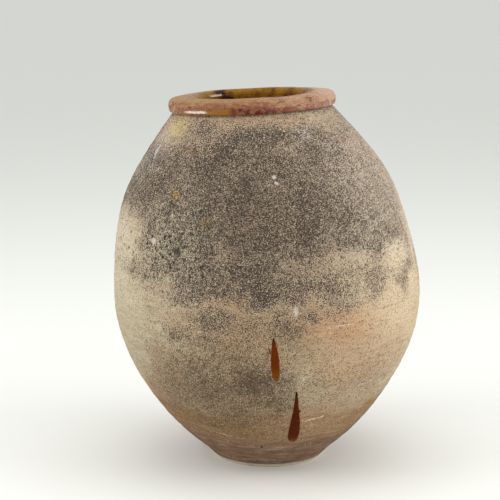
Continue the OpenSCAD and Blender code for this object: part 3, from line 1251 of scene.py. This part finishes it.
@dataclass(frozen=True)
class CollarGlaze:
    """Worn glaze on the collar: mauve and tan, ochre in places, wine red where it pooled."""

    form: JarForm
    mauve: Colour = tint(128, 82, 62)
    rose: Colour = tint(150, 106, 82)
    tan: Colour = tint(158, 124, 82)
    wine: Colour = tint(104, 34, 30)
    amber: Colour = tint(136, 94, 24)
    dark: Colour = tint(80, 42, 14)
    # Radius where the throat's amber glaze begins and where it is full
    throat: tuple[float, float] = (0.130, 0.121)
    # Sideways place of the dark pool and of the glint beside it, and the glint's two heights
    drop_x: float = -0.092
    glint_x: float = -0.106
    glint_heights: tuple[float, float] = (0.019, 0.008)

    def material(self) -> bpy.types.Material:
        """Builds the finish.

        Returns:
            The material.
        """
        paint = Paint("worn_collar_glaze")
        x, y, _ = paint.parts(paint.place)
        away = paint.vector("SUBTRACT", paint.warped(45.0, 0.004), tuple(self.form.seat))
        up = paint.measure("DOT_PRODUCT", away, tuple(self.form.seat_axis))
        across = paint.measure("DISTANCE", away, (0.0, 0.0, 0.0))
        inside = (across * across - up * up).math("SQRT").step(*self.throat)
        streaks = paint.squeezed(paint.place, 1.0, 3.0)
        broad = paint.noise(30.0, 5.0, 0.65, streaks)
        small = paint.noise(110.0, 4.0, 0.65, streaks)
        skin = Layers(paint, paint.ramp(broad, [(0.38, self.mauve), (0.5, self.rose), (0.60, self.tan)]))
        skin.over(small.step(0.50, 0.60) * 0.6, 182, 152, 118)
        self._lay_wear_and_highlight(skin, streaks, up, x)
        glint, throat = self._throat(paint, up, x, y)
        skin.colour = paint.blend(inside, skin.colour, throat)
        skin.over(paint.noise(260.0, 2.0, 0.6).step(0.60, 0.68) * 0.6, 84, 56, 44)
        rough = small.step(0.4, 0.62) * 0.30 + 0.22 - inside * 0.10
        relief = small + paint.noise(14.0, 2.0) * 1.4 + broad * 0.8
        shiny = paint.noise(34.0, 4.0, 0.7).step(0.50, 0.58)
        coat = inside * (glint * 0.9 + 0.05) + shiny * up.step(0.016, 0.008) * 0.8
        return paint.finish(Base_Color=skin.colour, Roughness=rough.clamped(),
                            Coat_Weight=coat.clamped(), Coat_Roughness=0.08,
                            Specular_IOR_Level=0.02, Normal=paint.bump(relief, 0.0016))

    def _lay_wear_and_highlight(self, skin: Layers, streaks: Any, up: Number, x: Number) -> None:
        """Paints the outside of the roll: reddish streaks, pooled wine red, gold and a painted highlight
        along its underside at the left.

        Args:
            skin: The colour so far.
            streaks: Coordinates that are squeezed, for streaks around the collar.
            up: Height above the collar's seat.
            x: Sideways place.
        """
        paint = skin.paint
        skin.over(x.step(-0.05, 0.10) * 0.35, 190, 156, 130)
        skin.over(paint.noise(48.0, 5.0, 0.7, streaks).step(0.53, 0.62) * 0.85, 116, 58, 44)
        skin.over(x.off(-0.080).step(0.095, 0.050) * up.step(0.024, 0.012) * 0.65, 126, 78, 60)
        skin.over(x.step(0.080, 0.115) * 0.55, 194, 160, 138)
        skin.over(up.step(0.017, 0.025) * x.step(0.02, -0.08) * 0.6, 150, 112, 66)
        rosy = paint.blend(x.step(-0.010, 0.030), self.wine, tint(132, 76, 66))
        skin.colour = paint.blend(self._pooled(paint, up, x), skin.colour, rosy)
        ragged = paint.noise(55.0, 5.0, 0.7)
        gold = x.step(-0.070, -0.086) * x.step(-0.130, -0.116)
        skin.over(gold * (up - ragged * 0.024).step(0.0010, -0.0030) * 0.85, 150, 104, 40)
        # Painted highlight: a pale streak along the roll's underside at the left
        pale = x.step(-0.170, -0.155) * x.step(-0.118, -0.128)
        skin.over(pale * up.off(ragged * 0.006 + 0.004).step(0.0030, 0.0014) * 0.9, 240, 224, 210)

    def _pooled(self, paint: Paint, up: Number, x: Number) -> Number:
        """Where the glaze pooled along the underside of the roll.

        Args:
            paint: The material's builder.
            up: Height above the collar's seat.
            x: Sideways place.

        Returns:
            The mask.
        """
        ragged = up - paint.noise(24.0, 5.0, 0.78) * 0.030 - x.step(0.0, 0.06) * 0.0025
        broken = paint.noise(52.0, 4.0, 0.7).step(0.40, 0.50)
        strength = x.step(-0.10, -0.05) * 0.85 + 0.1 - x.step(0.01, 0.05) * 0.25
        return ragged.step(-0.0035, -0.0060) * broken * strength

    def _throat(self, paint: Paint, up: Number, x: Number, y: Number) -> tuple[Number, Any]:
        """The glaze inside the mouth: amber with drips, a dark pool and a glint at the back.

        Args:
            paint: The material's builder.
            up: Height above the collar's seat.
            x: Sideways place.
            y: Place from front to back.

        Returns:
            Where the glint lies, and the colour.
        """
        drips = paint.noise(30.0, 4.0, 0.6).step(0.36, 0.60)
        pool = Layers(paint, paint.blend(drips, self.dark, self.amber))
        behind = y.step(-0.01, 0.01)
        slanting = x + (paint.noise(60.0, 3.0, 0.6) * 0.030 - 0.015) + (up - 0.015) * 0.9
        pool.over(slanting.off(self.drop_x).step(0.014, 0.009) * behind * 0.9, 52, 22, 10)
        high, low = (up.off(h).step(0.0024, 0.0012) for h in self.glint_heights)
        glint = slanting.off(self.glint_x).step(0.014, 0.009) * high.either(low) * behind
        pool.over(glint * 0.5, 206, 184, 160)
        pool.over(x.step(0.055, 0.10) * 0.7, 138, 100, 70)
        pool.over(x.step(-0.105, -0.135) * 0.7, 140, 104, 58)
        return glint, pool.colour


@dataclass(frozen=True)
class LiningGlaze:
    """Glossy amber glaze inside the jar, thin on the ridges and dark where it pooled."""

    amber: Colour = tint(126, 80, 30)
    honey: Colour = tint(150, 102, 44)
    dark: Colour = tint(66, 34, 14)

    def material(self) -> bpy.types.Material:
        """Builds the finish.

        Returns:
            The material.
        """
        paint = Paint("amber_lining_glaze")
        flow = paint.noise(24.0, 5.0, 0.6, paint.squeezed(paint.place, 1.0, 0.35))
        colour = paint.ramp(flow, [(0.34, self.dark), (0.5, self.amber), (0.66, self.honey)])
        pin = paint.cells(120.0).step(0.14, 0.08)
        relief = flow + paint.noise(60.0, 3.0) * 0.5
        return paint.finish(Base_Color=paint.blend(pin * 0.7, colour, self.dark),
                            Roughness=flow.step(0.4, 0.7) * 0.2 + 0.14, Coat_Weight=0.3,
                            Coat_Roughness=0.08, Specular_IOR_Level=0.3,
                            Normal=paint.bump(relief, 0.0015))


@dataclass(frozen=True)
class RunGlaze:
    """Thick glaze of a run, from its round lower end up to its dark tip."""

    name: str
    top: float
    bottom: float
    # Share of the way up, then the colour there
    colours: tuple[tuple[float, Colour], ...]

    def material(self) -> bpy.types.Material:
        """Builds the finish.

        Returns:
            The material.
        """
        paint = Paint(self.name)
        z = paint.parts(paint.warped(90.0, 0.006))[2]
        skin = Layers(paint, paint.ramp((z - self.bottom) / (self.top - self.bottom), self.colours))
        long = paint.squeezed(paint.place, 1.0, 0.25)
        clouds = paint.noise(130.0, 4.0, 0.65, long).step(0.45, 0.7)
        skin.over(clouds * 0.30, 64, 22, 4)
        rough = paint.noise(200.0, 3.0).step(0.4, 0.7) * 0.2 + 0.2
        return paint.finish(Base_Color=skin.colour, Roughness=rough, Specular_IOR_Level=0.02,
                            Normal=paint.bump(clouds, 0.0006))


@dataclass(frozen=True)
class CrumbClay:
    """The crumbs of lime, sand and burnt grit that stand out of the wall."""

    grit: Colour = tint(70, 60, 52)
    sand: Colour = tint(128, 108, 88)
    lime: Colour = tint(198, 184, 160)

    def material(self) -> bpy.types.Material:
        """Builds the finish.

        Returns:
            The material.
        """
        paint = Paint("lime_and_grit")
        stops = [(0.40, self.grit), (0.47, self.sand), (0.60, self.lime)]
        grain = paint.noise(900.0, 2.0)
        return paint.finish(Base_Color=paint.ramp(paint.noise(75.0, 0.0), stops), Roughness=0.9,
                            Normal=paint.bump(grain, 0.0003))


# Sub-assemblies


@dataclass
class Body:
    """The foot slab, the two walls, their linings and the crumbs in them."""

    form: JarForm
    mesher: Mesher
    around: int = 360
    lining_around: int = 240
    outer_rows: int = 150
    inner_rows: int = 36
    slab_rows: int = 24
    lining_rows: tuple[int, int] = (90, 100)
    ring_pitch: float = 0.021
    ring_depth: float = 0.0016
    ring_waver: float = 0.8
    crumb_size: tuple[float, float] = (0.0005, 0.0013)
    # How far the crumbs keep above the slab and below the collar's seat
    crumb_margins: tuple[float, float] = (0.01, 0.012)
    # Height at which the rings begin, and the rise over which they reach their full depth
    rings_from: float = 0.045
    rings_fade: float = 0.02

    def build(self) -> None:
        """Makes the pieces and dresses them."""
        clay = WeatheredClay(self.form).material()
        lower, upper = self._sections(self.around)
        walls = self.walls(lower, upper, clay)
        self.foot_slab(lower, clay)
        self.linings(*self._sections(self.lining_around))
        self.crumbs(walls)

    def _sections(self, around: int) -> tuple[Wall, Wall]:
        """The lower and the upper wall's surfaces.

        Args:
            around: How many columns their grids have.

        Returns:
            The two.
        """
        form = self.form
        lower = Wall(form, form.lower_outline(), form.lean_lower, form.height_level, around)
        return lower, Wall(form, form.upper_outline(), form.lean_upper, form.upper_level, around)

    def walls(self, lower: Wall, upper: Wall, clay: bpy.types.Material) -> list[bpy.types.Object]:
        """Makes the walls, from the slab to the belly and from there to the collar's seat.

        Args:
            lower: The lower wall's surface.
            upper: The upper wall's surface.
            clay: Their finish.

        Returns:
            The two pieces.
        """
        made = []
        for node, wall, low, high in (
            ("lower_wall", lower, self.form.floor_t, self.form.belly_h),
            ("upper_wall", upper, 0.0, 1.0),
        ):
            outside = wall.grid(self.outer_rows, low, high)
            inside = wall.grid(self.inner_rows, low, high, 0.0)
            piece = self.mesher.shell(f"{node}_clay", np.concatenate([outside, inside[::-1]]))
            made.append(dress(piece, clay, Slot.CLAY, node))
        return made

    def foot_slab(self, wall: Wall, clay: bpy.types.Material) -> None:
        """Makes the slab with its chamfered heel.

        Args:
            wall: The lower wall's surface.
            clay: The finish.
        """
        side = wall.grid(self.slab_rows, 0.0, self.form.floor_t)
        shares = (0.0, 0.3, 0.6, 0.85)
        under = self._disc(side[0], side[0].mean(0), shares, 0.0)
        over = self._disc(side[-1], side[-1].mean(0), shares, self.form.floor_t)[::-1]
        piece = self.mesher.shell("foot_slab", np.concatenate([under, side, over]), poles=True)
        dress(piece, clay, Slot.FOOT_CLAY, "foot_disc")

    @staticmethod
    def _disc(ring: Grid, middle: Grid, shares: Sequence[float], height: float) -> Grid:
        """Fills a ring with smaller rings on a level.

        Args:
            ring: The outer ring's points.
            middle: The point that the rings shrink to.
            shares: The smaller rings' sizes, from the middle outwards.
            height: Their level.

        Returns:
            The smaller rings.
        """
        rings = middle + (ring - middle) * np.array(shares)[:, None, None]
        rings[..., 2] = height
        return rings

    def linings(self, lower: Wall, upper: Wall) -> None:
        """Makes the glaze coats over the floor and up the walls.

        Args:
            lower: The lower wall's surface.
            upper: The upper wall's surface.
        """
        form = self.form
        glaze = LiningGlaze().material()
        rings = ThrowingRings(glaze)
        floor = form.floor_t + form.glaze_t
        low_rows, high_rows = self.lining_rows
        skin = lower.grid(low_rows, floor, form.belly_h, form.glaze_t)
        clay = lower.grid(low_rows, form.floor_t, form.belly_h, 0.0)
        shares = (0.0, 0.25, 0.5, 0.75, 0.93)
        middle = skin[0].mean(0)
        low_floor = self._disc(clay[0], middle, shares, form.floor_t)
        top_floor = self._disc(skin[0], middle, shares, floor)
        low_loop = np.concatenate([low_floor, clay, skin[::-1], top_floor[::-1]])
        skin = upper.grid(high_rows, 0.0, 1.0, form.glaze_t)
        clay = upper.grid(high_rows, 0.0, 1.0, 0.0)
        high_loop = np.concatenate([clay, skin[::-1]])
        for node, loop, poles in (("lower_lining", low_loop, True), ("upper_lining", high_loop, False)):
            piece = self.mesher.shell(f"{node}_glaze", loop, poles)
            self._mark_inward(piece)
            rings.run(piece, Pitch=self.ring_pitch, Depth=self.ring_depth, Waver=self.ring_waver)
            dress(piece, glaze, Slot.LINING, node)

    def _mark_inward(self, piece: bpy.types.Object) -> None:
        """Marks the points whose face looks into the jar, for the throwing rings.

        Args:
            piece: The lining.
        """
        points = piece.data.vertices
        co, normals = np.zeros(len(points) * 3), np.zeros(len(points) * 3)
        points.foreach_get("co", co)
        points.foreach_get("normal", normals)
        co, normals = co.reshape(-1, 3), normals.reshape(-1, 3)
        flat = co[:, :2] - np.array([self.form.belly_x, 0.0])
        facing = -(flat * normals[:, :2]).sum(1) / np.maximum(np.linalg.norm(flat, axis=1), 1e-6)
        mark = np.clip(facing * 2, 0, 1) * np.clip((co[:, 2] - self.rings_from) / self.rings_fade, 0, 1)
        attribute = piece.data.attributes.new("inward", "FLOAT", "POINT")
        attribute.data.foreach_set("value", mark.astype(np.float32))

    def crumbs(self, walls: Sequence[bpy.types.Object]) -> None:
        """Scatters lime and grit over the outside of the walls.

        Args:
            walls: The lower and the upper wall.
        """
        finish = CrumbClay().material()
        scatter = CrumbScatter(finish)
        small, large = self.crumb_size
        kinds = (("lower_crumbs", 420.0, 4), ("upper_crumbs", 900.0, 9))
        for wall, (name, density, seed) in zip(walls, kinds):
            skin = self._outer_skin(name, wall)
            scatter.run(skin, Density=density, Smallest=small, Largest=large, Flatness=0.5, Seed=seed)
            dress(skin, finish, Slot.CLAY)

    def _outer_skin(self, name: str, wall: bpy.types.Object) -> bpy.types.Object:
        """Copies the faces of a wall that look outwards.

        Args:
            name: The new piece's name.
            wall: The wall.

        Returns:
            The piece.
        """
        form = self.form
        low, high = form.floor_t + self.crumb_margins[0], form.neck_h - self.crumb_margins[1]
        faces = np.array(
            [list(p.vertices) for p in wall.data.polygons
             if p.normal.x * (p.center.x - form.belly_x) + p.normal.y * p.center.y > 0.01
             and low < p.center.z < high]
        )
        return self.mesher.piece(name, np.array([v.co for v in wall.data.vertices]), faces)


@dataclass
class Collar:
    """The thick rounded collar and its glaze."""

    form: JarForm
    mesher: Mesher
    around: int = 300
    rows: int = 76
    roll_x: float = 0.1502
    roll_r: float = 0.0175
    roll_h: float = 0.012
    roll_top: float = 44.0
    crown_r: float = 0.124
    crown_h: float = 0.0278
    crown_drop: float = 0.012
    crown_bow: float = 0.0009
    mouth_r: float = 0.108
    throat_levels: tuple[float, ...] = (0.0135, 0.011, 0.0085, 0.006, 0.004)
    lip_r: float = 0.004
    hem: float = 0.0005
    hem_waver: float = 0.0022
    bead: float = 0.0007

    def build(self) -> None:
        """Makes the pieces and dresses them, the clay in its thin worn glaze."""
        glaze = CollarGlaze(self.form).material()
        self.clay_ring(glaze)
        self.glaze_coat(glaze)

    def outline(self) -> Grid:
        """Outline of the glazed collar.

        Returns:
            Radius and height of its points, and the two parts of their normals.
        """
        start = -math.degrees(math.asin(self.roll_h / self.roll_r))
        a = np.radians(np.linspace(start, self.roll_top, 26))
        roll = np.stack([self.roll_x + self.roll_r * np.cos(a), self.roll_h + self.roll_r * np.sin(a)], 1)
        crown = np.array([self.crown_r, self.crown_h])
        slope = roll[-1] + (crown - roll[-1]) * np.linspace(0, 1, 14)[1:-1, None]
        bow = np.sin(np.linspace(0, math.pi, 14))[1:-1, None] * self.crown_bow
        slope = slope + bow * np.array([0.35, 0.94])
        b = np.radians(np.linspace(90, 180, 14))
        wide = self.crown_r - self.mouth_r
        lip_h = self.crown_h - self.crown_drop
        lip = np.stack([self.crown_r + wide * np.cos(b), lip_h + self.crown_drop * np.sin(b)], 1)
        throat = np.array([[self.mouth_r, level] for level in self.throat_levels])
        line = np.vstack([roll, slope, lip, throat])
        return np.hstack([line, outward(line)])

    def _turned(self, r: Grid, h: Grid) -> Grid:
        """Turns an outline into uneven rings on the collar's seat.

        Args:
            r: Radius, rows by columns.
            h: Height above the seat, rows by columns.

        Returns:
            The points.
        """
        a = np.arange(self.around) * TURN / self.around
        rising = np.clip(h / 0.008, 0, 1)
        r = r + rising * MM * (0.9 * np.sin(2 * a + 0.9) + 0.5 * np.sin(5 * a) + 0.3 * np.sin(9 * a + 2))
        h = h + rising * MM * (0.5 * np.sin(3 * a + 2.2) + 0.35 * np.sin(7 * a + 1) - 0.2)
        seat, axis = np.array(self.form.seat), np.array(self.form.seat_axis)
        side = np.array([axis[2], 0.0, -axis[0]])
        ahead = np.array([0.0, -1.0, 0.0])
        flat = (r * np.sin(a))[..., None] * side + (r * np.cos(a))[..., None] * ahead
        return seat + flat + h[..., None] * axis

    def clay_ring(self, glaze: bpy.types.Material) -> None:
        """Makes the clay of the collar, seen where its thick glaze ends.

        Args:
            glaze: Its finish, as thin glaze runs on over the clay.
        """
        line = self.outline()
        t = self.form.glaze_t
        r, h = line[:, 0] - t * line[:, 2], np.maximum(0, line[:, 1] - t * line[:, 3])
        under = self.mouth_r + t + self.lip_r
        r = np.concatenate([r, [under - 0.001, under], np.linspace(under, r[0], 5)[1:-1]])
        h = np.concatenate([h, [0.0015, 0.0], [0.0] * 3])
        columns = np.ones(self.around)
        piece = self.mesher.shell("collar_clay", self._turned(np.outer(r, columns), np.outer(h, columns)))
        dress(piece, glaze, Slot.FOOT_CLAY, "rim_collar")

    def glaze_coat(self, glaze: bpy.types.Material) -> None:
        """Makes the coat of glaze, with a wavering hem that swells into a bead.

        Args:
            glaze: Its finish.
        """
        line = self.outline()
        a = np.arange(self.around) * TURN / self.around
        waver = 0.5 + 0.5 * np.sin(3 * a + 1.1) * np.sin(7 * a + 0.3)
        hem = self.hem + self.hem_waver * waver
        length = lengths(line[:, :2])
        at = hem + (length[-1] - hem) * np.linspace(0, 1, self.rows)[:, None]
        r, h, nr, nh = (np.interp(at, length, line[:, k]) for k in range(4))
        bead = self.bead * np.exp(-(((at - hem) / 0.004) ** 2)) * (0.5 + waver)
        t = self.form.glaze_t
        skin = self._turned(r + nr * bead, h + nh * bead)
        under = self._turned(r - nr * t, np.maximum(0.0002, h - nh * t))
        piece = self.mesher.shell("collar_glaze_coat", np.concatenate([skin, under[::-1]]))
        dress(piece, glaze, Slot.COLLAR, "collar_glaze")


@dataclass
class GlazeRun:
    """One run of thick glaze down the front of the lower wall."""

    form: JarForm
    mesher: Mesher
    name: str
    nodes: tuple[str, ...]
    azimuth: float
    top: float
    bottom: float
    # How far the top lies beside the bottom, and how far the glaze stands out
    top_dx: float
    proud: float
    # Share of the way down, then how far the run reaches to its left and right, in mm
    sides: tuple[tuple[float, float, float], ...]
    rows: int = 90
    columns: int = 17
    sunk: float = 0.0008

    def build(self, glaze: bpy.types.Material) -> None:
        """Makes the run and dresses it.

        Args:
            glaze: Its finish.
        """
        down = np.linspace(1, 0, self.rows)
        table = np.array(self.sides)
        left, right = (np.interp(down, table[:, 0], table[:, k]) * MM for k in (1, 2))
        z = (self.top + (self.bottom - self.top) * down)[:, None]
        across = np.linspace(-1, 1, self.columns)[None]
        width = np.where(across < 0, left[:, None], right[:, None])
        local = (self.top_dx * (1 - down))[:, None] + across * width
        full = np.clip(np.minimum(left, right) / 0.004, 0.1, 1)
        dome = self.proud * full[:, None] * np.sqrt(np.clip(1 - np.abs(across) ** 2.4, 0, 1))
        dome = dome * (0.62 + 0.38 * down[:, None])
        under = self._laid(local, z, np.full(dome.shape, -self.sunk))
        piece = self.mesher.patch(self.name, self._laid(local, z, dome + 0.0001), under)
        dress(piece, glaze, Slot.RUN, *self.nodes)

    def _laid(self, local: Grid, z: Grid, reach: Grid) -> Grid:
        """Lays points on the outer wall.

        Args:
            local: Sideways place of each point, from the run's azimuth.
            z: Height of each point in the upright jar.
            reach: How far it stands out of the wall.

        Returns:
            The placed points.
        """
        line = self.form.lower_outline()
        table = np.hstack([line[:, :1], outward(line)])
        z = np.broadcast_to(z, local.shape)
        r, nr, nz = (np.interp(z, line[:, 1], table[:, k]) for k in range(3))
        a = math.radians(self.azimuth) + np.arcsin(local / r)
        reach = reach + self.form.uneven(a, z)
        return self.form.lean_lower(spun(a, r + nr * reach, z + nz * reach))


def build_runs(form: JarForm, mesher: Mesher) -> None:
    """Makes the two runs and the thread beside the upper one.

    Args:
        form: The jar's form.
        mesher: Makes the pieces.
    """
    upper_ends = (0.3165, 0.2275)
    lower_ends = (0.2025, 0.0795)
    thread_ends = (0.2990, 0.2860)
    upper = RunGlaze("upper_run_glaze", *upper_ends, (
        (0.0, tint(122, 82, 34)), (0.10, tint(116, 62, 12)), (0.35, tint(102, 42, 5)),
        (0.85, tint(98, 42, 8)), (0.96, tint(54, 28, 8)),
    )).material()
    lower = RunGlaze("lower_run_glaze", *lower_ends, (
        (0.0, tint(118, 80, 42)), (0.06, tint(92, 46, 10)), (0.14, tint(78, 28, 2)),
        (0.60, tint(76, 26, 2)), (0.90, tint(70, 32, 8)), (0.97, tint(44, 24, 6)),
    )).material()
    upper_sides = (
        (0.0, 1.3, 1.3), (0.03, 2.0, 2.0), (0.1, 3.0, 3.2), (0.27, 5.6, 6.2), (0.43, 7.0, 7.7),
        (0.6, 7.6, 8.3), (0.77, 7.0, 7.5), (0.9, 6.0, 6.6), (0.97, 4.0, 5.2), (1.0, 1.4, 2.4),
    )
    lower_sides = (
        (0.0, 1.4, 1.4), (0.03, 1.9, 1.9), (0.11, 2.6, 2.8), (0.27, 4.4, 4.8), (0.345, 5.1, 5.8),
        (0.362, 5.3, 9.8), (0.380, 5.6, 10.0), (0.40, 6.2, 6.4), (0.57, 9.0, 9.2),
        (0.77, 11.6, 10.8), (0.9, 11.8, 9.6), (0.94, 11.4, 8.2), (0.965, 8.4, 7.6),
        (0.985, 6.6, 4.0), (1.0, 3.2, 1.2),
    )
    thread_sides = ((0.0, 0.5, 0.5), (0.3, 1.2, 1.2), (0.8, 1.5, 1.5), (1.0, 0.8, 0.8))
    for glaze, *sizes in (
        (upper, "upper_run_bead", ("upper_glaze_run",), 2.5, *upper_ends, -0.005, 0.0022, upper_sides),
        (lower, "lower_run_bead", ("lower_glaze_run",), 13.6, *lower_ends, -0.014, 0.0022, lower_sides),
        (upper, "upper_run_thread", (), 0.5, *thread_ends, -0.0035, 0.0009, thread_sides),
    ):
        GlazeRun(form, mesher, *sizes).build(glaze)


# Studio


@dataclass
class Studio:
    """The pale floor, the soft light and the camera of the photograph."""

    floor_reach: float = 90.0
    aim: tuple[float, float, float] = (0.0, 0.0, 0.4)
    camera_place: tuple[float, float, float] = (-0.0392, -2.9956, 0.9926)
    camera_tilt: float = 79.245
    lens: float = 108.0
    sensor: float = 36.0
    sky: Colour = tint(236, 238, 236)
    sky_strength: float = 0.92

    def build(self) -> None:
        """Makes the stage."""
        self.floor()
        self.lights()
        self.camera()

    def floor(self) -> None:
        """Makes the plain pale floor."""
        paint = Paint("pale_floor")
        colour = paint.blend(paint.noise(1.5, 3.0) * 0.15, tint(236, 236, 232), tint(228, 228, 223))
        reach = self.floor_reach
        corners = [(-reach, -reach, 0), (reach, -reach, 0), (reach, reach, 0), (-reach, reach, 0)]
        mesh = bpy.data.meshes.new("floor")
        mesh.from_pydata(corners, [], [(0, 1, 2, 3)])
        mesh.materials.append(paint.finish(Base_Color=colour, Roughness=0.7))
        made = bpy.data.objects.new("floor", mesh)
        bpy.context.scene.collection.objects.link(made)

    def lights(self) -> None:
        """Hangs the soft boxes and sets the pale surroundings."""
        for name, place, size, power in (
            ("key", (-3.0, -1.0, 2.3), 2.4, 57.0),
            ("fill", (3.0, -0.7, 1.9), 2.6, 62.0),
            ("top", (0.0, 0.4, 3.4), 2.8, 20.0),
        ):
            data = bpy.data.lights.new(name, "AREA")
            data.energy = power
            data.size = size
            lamp = bpy.data.objects.new(name, data)
            lamp.location = place
            aim = Vector(self.aim) - Vector(place)
            lamp.rotation_euler = aim.to_track_quat("-Z", "Y").to_euler()
            bpy.context.scene.collection.objects.link(lamp)
        world = bpy.data.worlds.new("pale_room")
        bpy.context.scene.world = world
        world.use_nodes = True
        surroundings = world.node_tree.nodes["Background"]
        surroundings.inputs["Color"].default_value = self.sky
        surroundings.inputs["Strength"].default_value = self.sky_strength
        bpy.context.scene.view_settings.view_transform = "Standard"

    def camera(self) -> None:
        """Puts the camera where the photograph was taken from."""
        data = bpy.data.cameras.new("camera")
        data.lens = self.lens
        data.sensor_width = self.sensor
        made = bpy.data.objects.new("camera", data)
        made.location = self.camera_place
        made.rotation_euler = (math.radians(self.camera_tilt), 0.0, 0.0)
        bpy.context.scene.collection.objects.link(made)
        bpy.context.scene.camera = made


def keep_sizes() -> None:
    """Updates the view layer, so that the placed pieces are current.
    """
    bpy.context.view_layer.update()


def main() -> None:
    """Builds the jar and its stage, and reports each piece."""
    logging.basicConfig(level=logging.INFO, format="%(name)s %(message)s")
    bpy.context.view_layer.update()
    form = JarForm()
    mesher = Mesher()
    Body(form, mesher).build()
    Collar(form, mesher).build()
    build_runs(form, mesher)
    Studio().build()
    keep_sizes()
    for piece in mesher.pieces:
        log.info("%s: %d faces", piece.name, len(piece.data.polygons))


if __name__ == "__main__":
    main()
